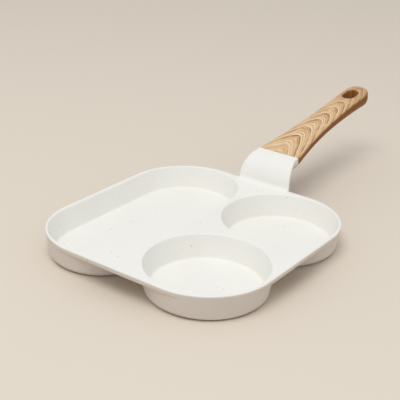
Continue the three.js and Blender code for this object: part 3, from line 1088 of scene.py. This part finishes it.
@dataclass
class BasePlate:
    """Stainless plate bonded into the underside of one cup, with shallow turned grooves."""

    frame: PanFrame
    where: str
    foot: Footprint
    inset: float
    thickness: float
    edge: float = 0.4
    edge_steps: int = 6
    eye: float = 1.0
    spacing: float = 3.2
    groove_width: float = 1.3
    groove_depth: float = 0.3
    groove_steps: int = 12

    @property
    def centre(self) -> Vector:
        """The middle of the underside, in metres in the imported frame."""
        return self.frame.origin + Vector((*self.foot.middle, 0.0)) * MM

    def build(self) -> Piece:
        """Carry half a section round the outline, from the underside's middle out, round the edge and up.

        Across the underside a groove's depth is a raised cosine of the distance from the groove's middle.

        Returns:
            The plate.
        """
        inner = min(self.foot.left, self.foot.right, self.foot.end) - self.eye
        count = math.floor((inner - self.inset - 2 * self.edge) / self.spacing)
        share = np.linspace(0.0, count, count * self.groove_steps + 1)
        off = np.abs(share % 1.0 - 0.5) * self.spacing
        near = np.clip(off / (self.groove_width / 2), 0.0, 1.0)
        depth = self.groove_depth * (1 + np.cos(math.pi * near)) / 2
        underside = np.stack([inner - share * self.spacing, depth], axis=-1)
        edge = arc(self.inset + self.edge, self.edge, self.edge, -QUARTER, 0.0, self.edge_steps)
        profile = np.vstack([underside, edge, [[self.inset, self.thickness]]])
        return soften(self.frame.mesh(f"{self.where}_turned_plate", self.foot.formed(profile)))


@dataclass
class Fixing:
    """What holds the grip on: a pan-head screw, a split washer and a flat washer, stacked under the tang."""

    frame: PanFrame
    line: HandleLine
    place: float
    tang_top: float
    tang_bottom: float
    seat_thickness: float = 1.6
    shank: float = 4.0
    head: float = 8.0
    head_height: float = 2.2
    head_side: float = 0.7
    head_fullness: float = 2.6
    dome_eye: float = 0.06
    dome_steps: int = 15
    washer: float = 9.0
    washer_thickness: float = 0.7
    split: float = 7.6
    split_thickness: float = 0.9
    split_steps: int = 96
    slit: float = 0.8
    spring: float = 0.1
    edge: float = 0.15
    edge_steps: int = 4
    cross_reach: float = 2.2
    cross_half: float = 0.55
    cross_depth: float = 1.3
    cross_taper: float = 0.55

    @property
    def seat(self) -> float:
        """Height of the grip's face that the washers press on."""
        return self.tang_bottom - CLEARANCE - self.seat_thickness

    @property
    def washer_top(self) -> float:
        """Height of the flat washer's upper face."""
        return self.seat - CLEARANCE

    @property
    def split_top(self) -> float:
        """Height of the split washer's upper face."""
        return self.washer_top - self.washer_thickness - CLEARANCE

    @property
    def head_top(self) -> float:
        """Height of the face under the screw's head."""
        return self.split_top - self.split_thickness - CLEARANCE

    @property
    def bore(self) -> float:
        """Radius of what the shank goes through."""
        return self.shank / 2 + CLEARANCE

    def upper_edge(self, radius: float, high: float) -> Array:
        """Radii and heights of the quarter circle round a disc's upper edge."""
        return arc(radius - self.edge, high - self.edge, self.edge, math.pi, QUARTER, self.edge_steps)

    def screw(self) -> Piece:
        """Domed head with a tapered cross recess, and the shank up to the tang's upper face.

        The dome's radius and height are powers of the sine and cosine of its turn.

        Returns:
            The screw.
        """
        turn = np.linspace(self.dome_eye, QUARTER, self.dome_steps + 1)
        power = 2 / self.head_fullness
        low = self.head_top - self.head_side
        dome = np.stack([
            self.head / 2 * np.sin(turn) ** power,
            low - (self.head_height - self.head_side) * np.cos(turn) ** power,
        ], axis=-1)
        side = self.upper_edge(self.head / 2, self.head_top)
        r, e = self.shank / 2, 2 * self.edge
        shank = np.array([
            [r + e, self.head_top], [r, self.head_top + e], [r, self.tang_top - e], [r - e, self.tang_top],
        ])
        bottom = self.head_top - self.head_height
        reach, half = self.cross_reach, self.cross_half
        cross = np.array([
            [reach, half], [half, half], [half, reach], [-half, reach], [-half, half], [-reach, half],
            [-reach, -half], [-half, -half], [-half, -reach], [half, -reach], [half, -half], [reach, -half],
        ])
        ends = (bottom - self.cross_depth, bottom + self.cross_depth)
        rings = prism(cross, *ends, (2 - self.cross_taper, self.cross_taper))
        recess = loft(self.line.to_pan(rings + np.array([0.0, self.place, 0.0])))
        blank = self.line.spun(self.place, np.vstack([dome, side, shank]))
        return soften(self.frame.combined("pan_head_screw", blank, [(Join.CUT, recess)]))

    def flat_washer(self) -> Piece:
        """Plain ring with rounded edges between the split washer and the grip.

        Returns:
            The washer.
        """
        high, low = self.washer_top, self.washer_top - self.washer_thickness
        r, e = self.washer / 2, self.edge
        lower_edge = arc(r - e, low + e, e, 3 * QUARTER, math.pi, self.edge_steps)
        disc = self.line.spun(self.place, np.vstack([lower_edge, self.upper_edge(r, high)]))
        hole = self.line.spun(self.place, straight(self.bore, low - OVERCUT, high + OVERCUT))
        return soften(self.frame.combined("flat_washer", disc, [(Join.CUT, hole)]))

    def split_washer(self) -> Piece:
        """Rounded bar carried round the axis from one side of the slit to the other, with a slight rise.

        Returns:
            The washer.
        """
        inner, outer, tall = self.bore, self.split / 2, self.split_thickness / 2
        middle = (inner + outer) / 2
        across, up = rounded_bar((outer - inner) / 2, tall, self.edge, self.edge_steps)
        gap = self.slit / 2 / middle
        turn = np.linspace(gap, 2 * math.pi - gap, self.split_steps + 1)[:, None]
        radius, z = middle + across, up + self.split_top - tall + self.spring * (turn / math.pi - 1)
        rings = np.stack([radius * np.cos(turn), self.place + radius * np.sin(turn), z], axis=-1)
        return soften(self.frame.mesh("split_washer", loft(self.line.to_pan(rings))))


@dataclass(frozen=True)
class Section:
    """Sizes of the grip's sections: half width, crown above the widest line, belly below it, flatness."""

    half: Array
    crown: Array
    belly: Array
    flatness: Array


@dataclass
class Grip:
    """The moulded grip: a waisted handle with a rounded end, a hang hole and a countersunk fixing."""

    frame: PanFrame
    line: HandleLine
    length: float = 168.0
    end_width: float = 26.0
    waist_width: float = 23.6
    taper: tuple[float, float] = (36.0, 61.0)
    front_thickness: float = 14.8
    end_thickness: float = 18.2
    thin: float = 10.8
    thinning: tuple[float, float] = (46.0, 85.0)
    front_crown: float = 2.2
    end_crown: float = 6.0
    crowning: int = 3
    nose: float = 15.0
    nose_turn: float = math.radians(88.5)
    front_flatness: float = 3.4
    end_flatness: float = 2.6
    belly_fullness: float = 3.2
    nose_bluntness: float = 6.0
    joint_ease: float = 0.5
    hole_width: float = 12.8
    hole_length: float = 20.4
    hole_from_end: float = 26.0
    hole_round: float = 1.2
    # The hole's rounded mouths are cut up to this angle and run out straight by so much
    hole_edge: float = math.radians(74.0)
    hole_mouth: float = 1.2
    hole_steps: int = 8
    # The film gives way to bare moulding, darkened further as painted shade, from this share of the crown
    # down to so far below the widest line
    film_crown: float = 0.8
    film_end: float = 0.8
    # Painted shade: along the widest line and on the belly the dark colour stands partly for bare moulding
    # and partly for the shade there
    side_bare_and_shade: float = 0.95
    belly_bare_and_shade: float = 0.68
    belly_edge: float = 9.0
    # It ends in the hole's rounded mouths, from this share of their radius outside the hole's wall; the
    # wall's dark colour is partly bare moulding and partly painted shade for the shade inside the hole
    hole_bare_and_shade: float = 0.76
    hole_film: float = 0.2
    # Towards the end the film is thinner, so that more of the moulding shows through
    bare_end: float = 0.26
    thinner_film: tuple[float, float] = (88.0, 158.0)
    rows: int = 90
    nose_rows: int = 24
    sides: int = 128
    curve_steps: int = 2000

    @property
    def nose_start(self) -> float:
        """Distance from the joint to where the end starts to round."""
        return self.length - self.nose

    @property
    def hole_place(self) -> float:
        """Distance from the joint to the middle of the hang hole."""
        return self.length - self.hole_from_end

    @property
    def hole_run(self) -> float:
        """Half of the straight stretch in the middle of the hang hole's oval."""
        return (self.hole_length - self.hole_width) / 2

    def curve(self, y: Array, *points: tuple[float, float]) -> Array:
        """Value of a cubic Bezier through distance and value pairs.

        Args:
            y: distances from the joint.
            points: the curve's four control points.

        Returns:
            The curve's value at each distance.
        """
        t = np.linspace(0.0, 1.0, self.curve_steps + 1)[:, None]
        a, b, c, d = np.array(points)
        path = (1 - t) ** 3 * a + 3 * (1 - t) ** 2 * t * b + 3 * (1 - t) * t ** 2 * c + t ** 3 * d
        return np.interp(y, path[:, 0], path[:, 1])

    def section(self, y: Array) -> Section:
        """Sizes of the grip's sections: width and thickness are curves, the rest a power of the way along.

        Args:
            y: distances from the joint.

        Returns:
            The sizes at each distance.
        """
        last, wide = self.nose_start, self.line.width
        share = np.clip((y - CLEARANCE) / (last - CLEARANCE), 0.0, 1.0) ** self.crowning
        width = self.curve(
            y, (0.0, wide), (self.taper[0], (wide + self.waist_width) / 2),
            (self.taper[1], self.waist_width), (last, self.end_width),
        )
        thickness = self.curve(
            y, (0.0, self.front_thickness), (self.thinning[0], self.thin),
            (self.thinning[1], self.thin), (last, self.end_thickness),
        )
        crown = self.front_crown + (self.end_crown - self.front_crown) * share
        flatness = self.front_flatness + (self.end_flatness - self.front_flatness) * share
        return Section(width / 2, crown, thickness - crown, flatness)

    def surface(self, x: Array, y: Array, upper: bool) -> Array:
        """Height of the grip's upper or lower surface in the handle frame.

        The height is crown (1 - (x / half) ** p) ** (1 / p) above the widest line, and the same below it
        with the belly's own depth and power.

        Args:
            x: millimetres from the grip's middle plane.
            y: distances from the joint.
            upper: whether it is the upper surface.

        Returns:
            The height at each place.
        """
        s = self.section(y)
        power = s.flatness if upper else np.full_like(y, self.belly_fullness)
        tall = s.crown if upper else -s.belly
        return tall * (1 - np.abs(x / s.half) ** power) ** (1 / power) - s.crown

    def rings(self) -> Array:
        """Sections along the grip and round its nose.

        A section point is half |cos| ** (2 / p) across and crown or belly |sin| ** (2 / p) up or down. Round
        the nose the width follows a circle, and the crown and the belly follow their own powers of it.

        Returns:
            Points in the handle frame, shape (rows, columns, 3).
        """
        along = np.linspace(CLEARANCE + self.joint_ease, self.nose_start, self.rows)
        reach = np.sin(np.linspace(0.0, self.nose_turn, self.nose_rows + 1)[1:])
        y = np.concatenate([[CLEARANCE], along, self.nose_start + self.nose * reach])
        s = self.section(np.minimum(y, self.nose_start))
        ease = np.where(np.arange(len(y)) == 0, self.joint_ease, 0.0)
        after = np.clip((y - self.nose_start) / self.nose, 0.0, 1.0)

        def shrink(power: float) -> Array:
            """What is left of a height after the nose has rounded it off."""
            return (1 - after ** power) ** (1 / power)

        half = (s.half - ease) * np.sqrt(1 - after ** 2)
        crown = (s.crown - ease) * shrink(self.end_flatness)
        belly = (s.belly - ease) * shrink(self.nose_bluntness)
        turn = np.linspace(0.0, 2 * math.pi, self.sides, endpoint=False)
        c, sn = np.cos(turn), np.sin(turn)
        power = np.where(sn > 0, 2 / s.flatness[:, None], 2 / self.belly_fullness)
        x = half[:, None] * np.sign(c) * np.abs(c) ** power
        tall = np.where(sn > 0, crown[:, None], belly[:, None])
        z = tall * np.sign(sn) * np.abs(sn) ** power - s.crown[:, None]
        return np.stack([-x, np.broadcast_to(y[:, None], x.shape), z], axis=-1)

    @property
    def first_section(self) -> Array:
        """The first section of full size, just behind the eased front, shape (columns, 3)."""
        return self.rings()[1]

    def hang_hole(self) -> Solid:
        """Oval cutter whose two mouths are rounded and follow the grip's upper and lower surfaces.

        Returns:
            The solid in the pan frame.
        """
        r = self.hole_width / 2
        turn = np.linspace(0.0, 2 * math.pi, self.sides, endpoint=False)
        last = self.hole_edge
        angle = np.linspace(0.0, last, self.hole_steps + 1)
        spread, sink = self.hole_round * (1 - np.cos(angle)), self.hole_round * (1 - np.sin(angle))
        spread = np.append(spread, spread[-1] + self.hole_mouth * math.sin(last))
        sink = np.append(sink, sink[-1] - self.hole_mouth * math.cos(last))
        offset = np.concatenate([spread[::-1], spread])[:, None]
        x = (r + offset) * np.cos(turn)
        y = self.hole_place + np.sign(np.sin(turn)) * self.hole_run + (r + offset) * np.sin(turn)
        rows = len(spread)
        low = self.surface(x[:rows], y[:rows], upper=False) + sink[::-1][:, None]
        high = self.surface(x[rows:], y[rows:], upper=True) - sink[:, None]
        walls = np.stack([x, y, np.vstack([low, high])], axis=-1)
        ends = walls[[0, -1]].copy()
        ends[:, :, 2] = np.array([[-2 * self.end_thickness], [self.end_crown]])
        return loft(self.line.to_pan(np.concatenate([ends[:1], walls, ends[1:]])))

    def socket(self, casting: Casting) -> Solid:
        """Slot for the tang, larger than it by the clearance all round.

        Args:
            casting: the casting that has the tang.

        Returns:
            The solid in the pan frame.
        """
        sizes = (casting.tang_width / 2, casting.tang_length, casting.tang_corner)
        half, end, corner = (size + CLEARANCE for size in sizes)
        low, high = casting.tang_bottom - CLEARANCE, casting.tang_top + CLEARANCE
        return self.line.tongue(half, -OVERCUT, end, corner, low, high)

    def screw_way(self, fixing: Fixing) -> Solid:
        """Stepped round cutter for the screw and its washers, from below the grip up into the socket."""
        deep = -self.front_thickness - self.end_thickness
        return self.line.spun(fixing.place, np.vstack([
            straight(fixing.washer / 2 + CLEARANCE, deep, fixing.seat),
            straight(fixing.bore, fixing.seat, fixing.tang_bottom + OVERCUT),
        ]))

    def film(self, points: Array, finish: WoodGrainPhenolic) -> Array:
        """Where points lie on the wood-grain film.

        The moulding is nearly bare along the widest line and on the wall of the hang hole, which lies half a
        width from the oval's straight middle, and shows through the film on the belly. Its dark colour there
        is also painted shade, for the shade that falls on the sides, the belly and in the hole.

        Args:
            points: millimetres in the handle frame, shape (count, 3).
            finish: the film.

        Returns:
            Arch number, place across and share of bare moulding with painted shade, shape (count, 3).
        """
        x, y, z = points.T
        crown = self.section(np.clip(y, CLEARANCE, self.nose_start)).crown
        under = -crown - z
        from_hole = np.hypot(x, np.maximum(np.abs(y - self.hole_place) - self.hole_run, 0.0))
        wall = self.hole_width / 2
        outside = eased(from_hole, wall + self.hole_film * self.hole_round, wall + self.hole_round)
        on_belly = eased(under, self.film_end, self.belly_edge)
        # Painted shade: the sides and the belly take the dark moulding colour, for bare moulding and for the
        # shade under the widest line
        below = self.side_bare_and_shade + (self.belly_bare_and_shade - self.side_bare_and_shade) * on_belly
        side = np.maximum(
            below * eased(under, -self.film_crown * crown, self.film_end),
            self.bare_end * eased(y, *self.thinner_film),
        )
        # Painted shade: the hang hole's wall takes the dark moulding colour, for bare moulding and for the
        # shade inside the hole
        bare_and_shade = self.hole_bare_and_shade + (side - self.hole_bare_and_shade) * outside
        return np.stack([finish.arches(x, y, np.maximum(under, 0.0) * outside), x, bare_and_shade], axis=-1)

    def build(self, casting: Casting, fixing: Fixing, finish: WoodGrainPhenolic) -> Piece:
        """Cut the hang hole, the tang's socket and the screw hole from the lofted grip, and lay the film.

        Args:
            casting: the casting whose tang it holds.
            fixing: the screw and washers that it takes from below.
            finish: the film, whose places go into the grip's own attribute.

        Returns:
            The grip.
        """
        cutters = (self.hang_hole(), self.socket(casting), self.screw_way(fixing))
        blank = loft(self.line.to_pan(self.rings()))
        made = soften(self.frame.combined("wood_grain_grip", blank, [(Join.CUT, tool) for tool in cutters]))
        points = self.line.from_pan(self.frame.points(made))
        film = made.data.attributes.new(GRAIN, "FLOAT_VECTOR", "POINT")
        film.data.foreach_set("vector", self.film(points, finish).ravel())
        return made


@dataclass(frozen=True)
class PhotoCamera:
    """Camera of the photograph, as fitted to the pan's outline; places are millimetres in the pan frame."""

    focal_pixels: float = 918.02
    picture: float = 400.0
    azimuth: float = math.radians(35.79)
    elevation: float = math.radians(24.25)
    roll: float = math.radians(2.01)
    target: tuple[float, float, float] = (-53.31, 79.18, 1.4)
    distance: float = 888.41
    sensor: float = 36.0

    def build(self, frame: PanFrame) -> None:
        """Make the camera, whose axes are the picture's right and up and the way back from the target.

        Args:
            frame: the pan frame that its place is given in.
        """
        a, e, r = self.azimuth, self.elevation, self.roll
        back = Vector((math.sin(a) * math.cos(e), -math.cos(a) * math.cos(e), math.sin(e)))
        level = Vector((math.cos(a), math.sin(a), 0.0))
        upright = back.cross(level)
        right = math.cos(r) * level + math.sin(r) * upright
        up = math.cos(r) * upright - math.sin(r) * level
        data = bpy.data.cameras.new("photo_camera")
        data.sensor_width = self.sensor
        data.lens = self.focal_pixels / self.picture * self.sensor
        made = placed("photo_camera", data)
        made.matrix_world = Matrix((right, up, back)).transposed().to_4x4()
        made.location = frame.origin + (Vector(self.target) + self.distance * back) * MM
        bpy.context.scene.camera = made


@dataclass(frozen=True)
class Studio:
    """Plain pale floor and soft light: an even sky with one large lamp above, in front and to the left."""

    floor_colour: str = "#e4d9ca"
    # What the floor throws on the sides of the pan is dimmer and warmer than the pale floor looks
    floor_bounce: str = "#b3987e"
    floor_size: float = 60.0
    floor_roughness: float = 0.8
    floor_specular: float = 0.2
    sky_colour: str = "#f9fafb"
    sky_strength: float = 0.675
    lamp_power: float = 16.0
    lamp_size: float = 1.3
    lamp_place: tuple[float, float, float] = (0.15, -0.8, 1.9)

    def floor_material(self) -> Material:
        """Matt floor with one colour where it is seen or mirrored and one for the light that it throws.

        Returns:
            The material.
        """
        material, tree = blank_material("pale_studio_floor")
        ray = node(tree, "LightPath").outputs
        mirrored = node(tree, "Math", {
            0: ray["Is Glossy Ray"], 1: ray["Is Transmission Ray"],
        }, operation="MAXIMUM").outputs[0]
        seen = node(tree, "Math", {0: ray["Is Camera Ray"], 1: mirrored}, operation="MAXIMUM").outputs[0]
        colour = node(tree, "Mix", {
            FACTOR: seen, FIRST: linear(self.floor_bounce), SECOND: linear(self.floor_colour),
        }, data_type="RGBA").outputs[MIXED]
        shader = node(tree, "BsdfPrincipled", {
            "Base Color": colour,
            "Roughness": self.floor_roughness,
            "Specular IOR Level": self.floor_specular,
        })
        node(tree, "OutputMaterial", {"Surface": shader.outputs["BSDF"]})
        return material

    def build(self) -> None:
        """Make the floor, the sky and the lamp."""
        half = self.floor_size / 2
        corners = [(-half, -half, 0), (half, -half, 0), (half, half, 0), (-half, half, 0)]
        data = bpy.data.meshes.new("floor")
        data.from_pydata(corners, [], [(0, 1, 2, 3)])
        data.materials.append(self.floor_material())
        floor = placed("floor", data)

        world = bpy.data.worlds.new("studio_sky")
        world.use_nodes = True
        world.node_tree.nodes.clear()
        sky = node(world.node_tree, "Background", {
            "Color": linear(self.sky_colour), "Strength": self.sky_strength,
        })
        node(world.node_tree, "OutputWorld", {"Surface": sky.outputs[0]})
        bpy.context.scene.world = world

        lamp = bpy.data.lights.new("soft_lamp", "AREA")
        lamp.shape = "DISK"
        lamp.size = self.lamp_size
        lamp.energy = self.lamp_power
        made = placed("soft_lamp", lamp)
        made.location = self.lamp_place
        made.rotation_euler = (-Vector(self.lamp_place)).to_track_quat("-Z", "Y").to_euler()


def main() -> None:
    """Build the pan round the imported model, piece by piece."""
    logging.basicConfig(level=logging.INFO, format="%(message)s")
    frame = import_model()
    bpy.context.scene.view_settings.view_transform = "Standard"
    line = HandleLine()
    front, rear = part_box("long_base_plate")
    pan = PanFrame(Vector((0.0, (front.y + rear.y) / 2, 0.0)))
    PhotoCamera().build(pan)
    Studio().build()

    casting, grip = Casting(pan, line), Grip(pan, line)
    dress(casting.build(grip.first_section), SpeckledCoating().material(), "coating", "pan_body")

    for where, foot in casting.feet.items():
        plate = BasePlate(pan, where, foot, casting.plate_inset, casting.plate_thickness)
        dress(plate.build(), BASE_STEEL.material(plate.centre), "base_plate", f"{where}_base_plate")

    fixing = Fixing(pan, line, casting.screw_place, casting.tang_top, casting.tang_bottom)
    film = WoodGrainPhenolic()
    dress(grip.build(casting, fixing, film), film.material(), "wood_look", "handle_grip")

    low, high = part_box("handle_screw")
    zinc = ZINC_STEEL.material((low + high) / 2)
    dress(fixing.screw(), zinc, "fixing", "handle_screw")
    dress(fixing.flat_washer(), zinc, "fixing", "handle_flat_washer")
    dress(fixing.split_washer(), zinc, "fixing", "handle_lock_washer")


if __name__ == "__main__":
    main()
